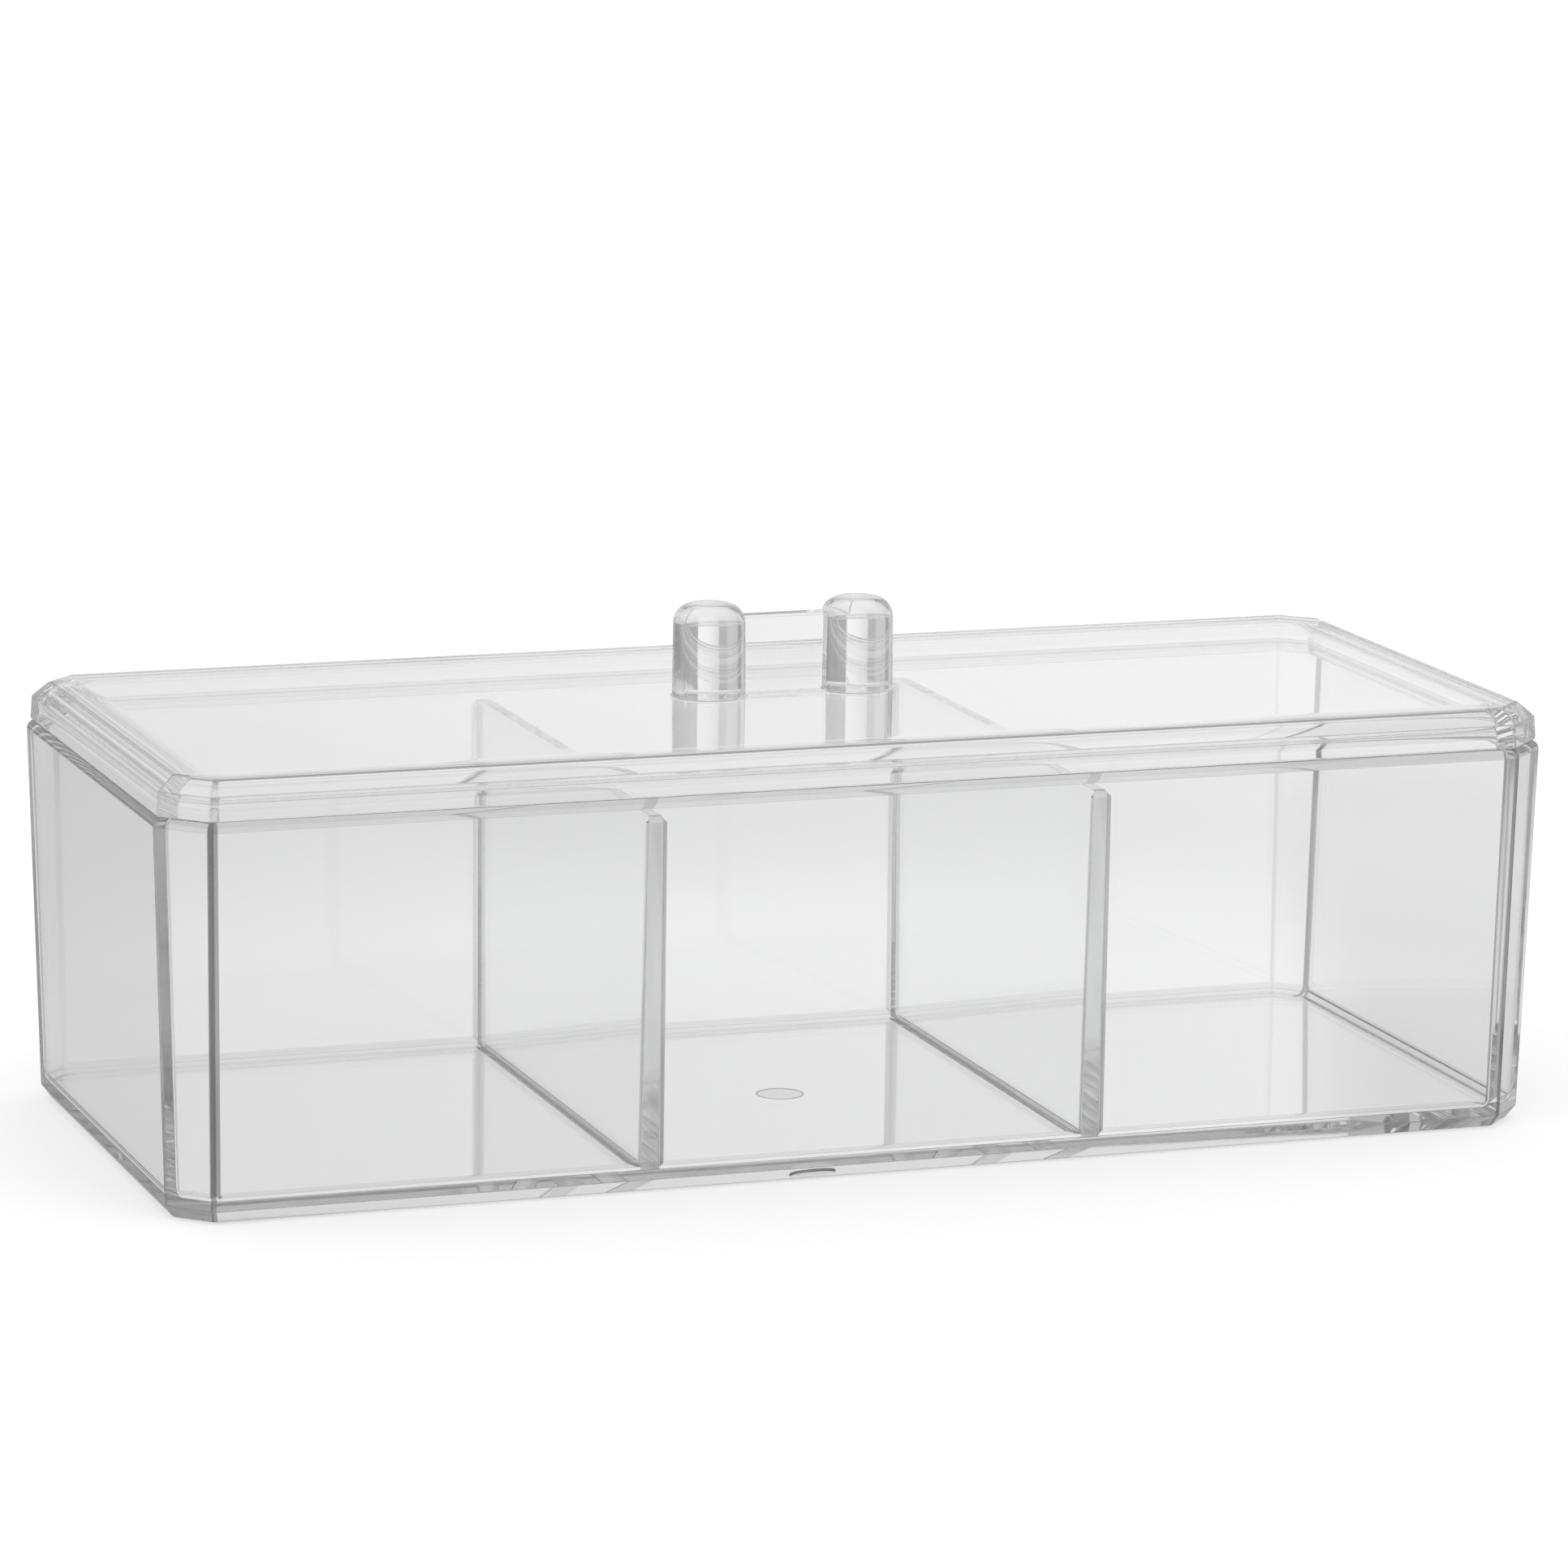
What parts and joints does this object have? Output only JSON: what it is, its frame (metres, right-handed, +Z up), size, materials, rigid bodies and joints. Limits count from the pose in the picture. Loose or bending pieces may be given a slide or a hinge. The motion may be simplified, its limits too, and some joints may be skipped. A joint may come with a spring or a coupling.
{
  "type": "acrylic storage box with lid",
  "caption": "Clear divided tray with chamfered corners and cemented dividers, closed by a lift-off lid with a raised post handle.",
  "frame": {"origin": "centre of the base, on the surface the box stands on", "axes": "+Z up, X along the box's length with +X to the right seen from the front, front face towards -Y"},
  "size_m": [0.23, 0.0976, 0.084],
  "materials": {
    "tray_plastic": "clear, polished",
    "divider_plastic": "clear, polished",
    "lid_plastic": "clear, polished",
    "handle_plastic": "clear, polished"
  },
  "bodies": {
    "tray_body": {"tray": "tray_plastic", "left_divider": "divider_plastic", "right_divider": "divider_plastic"},
    "lid_body": {"lid": "lid_plastic", "handle": "handle_plastic"}
  },
  "joints": [
    {"name": "lid_lift", "type": "slide", "parent": "tray_body", "child": "lid_body", "axis": [0, 0, 1], "range_m": [0, 0.12]}
  ]
}
